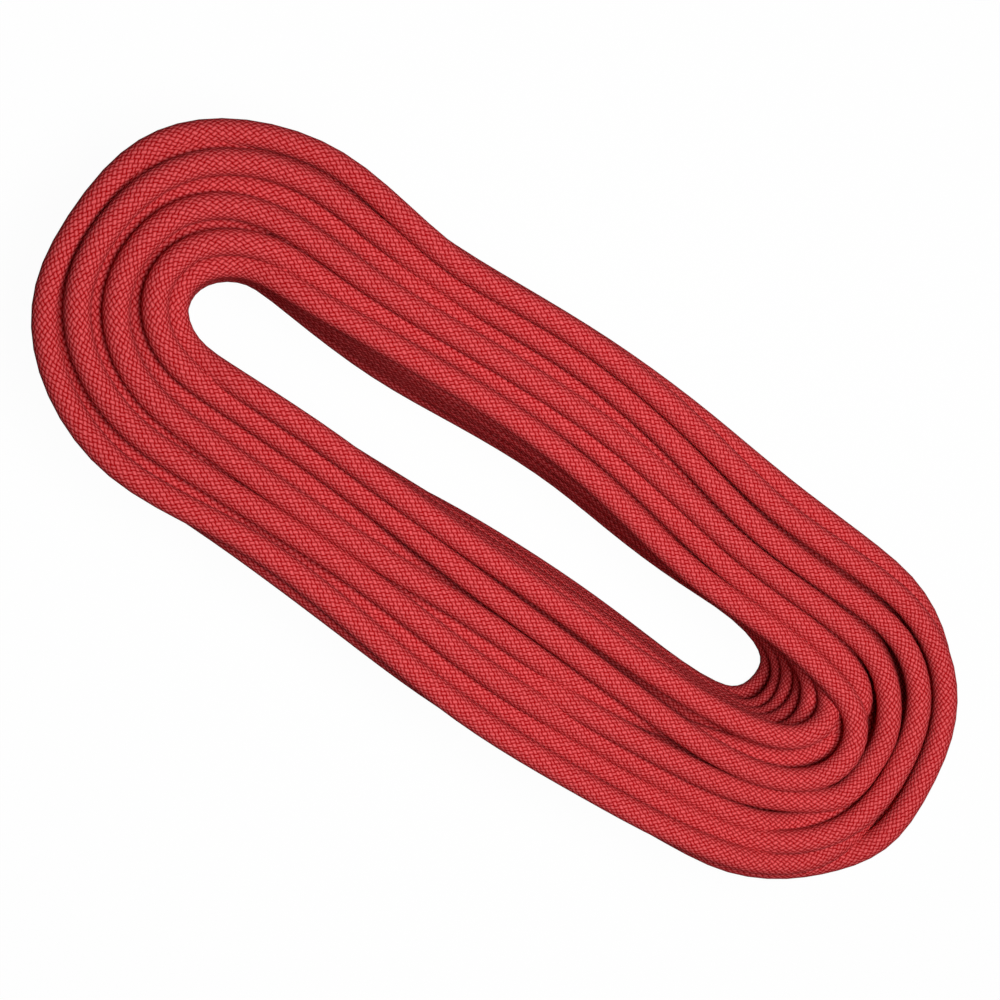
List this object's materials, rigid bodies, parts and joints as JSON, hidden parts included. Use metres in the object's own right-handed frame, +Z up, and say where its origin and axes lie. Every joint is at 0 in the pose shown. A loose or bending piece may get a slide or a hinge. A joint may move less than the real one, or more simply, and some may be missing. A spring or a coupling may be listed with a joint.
{
  "type": "climbing rope",
  "caption": "Dynamic climbing rope with a braided sheath, wound in a long flat coil with round ends and a narrow open middle, its sealed ends tucked in low on its inner side.",
  "frame": {"origin": "on the ground under the middle of the coil", "axes": "+X along the coil, +Y across it, +Z up from the ground it lies on"},
  "size_m": [0.3777, 0.1397, 0.0658],
  "materials": {
    "rope_sheath": "braided",
    "rope_core": "twisted yarn",
    "sealed_tip": "melted"
  },
  "bodies": {
    "root": {"rope_turns": "rope_sheath", "hidden_turns": "rope_sheath", "end_a_sheath": "rope_sheath", "end_a_seal": "sealed_tip", "end_b_sheath": "rope_sheath", "end_b_seal": "sealed_tip", "end_a_core_strand_01": "rope_core", "end_a_core_strand_02": "rope_core", "end_a_core_strand_03": "rope_core", "end_a_core_strand_04": "rope_core", "end_a_core_strand_05": "rope_core", "end_a_core_strand_06": "rope_core", "end_a_core_strand_07": "rope_core", "end_a_core_strand_08": "rope_core", "end_a_core_strand_09": "rope_core", "end_a_core_strand_10": "rope_core", "end_a_core_strand_11": "rope_core", "end_a_core_strand_12": "rope_core", "end_b_core_strand_01": "rope_core", "end_b_core_strand_02": "rope_core", "end_b_core_strand_03": "rope_core", "end_b_core_strand_04": "rope_core", "end_b_core_strand_05": "rope_core", "end_b_core_strand_06": "rope_core", "end_b_core_strand_07": "rope_core", "end_b_core_strand_08": "rope_core", "end_b_core_strand_09": "rope_core", "end_b_core_strand_10": "rope_core", "end_b_core_strand_11": "rope_core", "end_b_core_strand_12": "rope_core"}
  },
  "joints": []
}
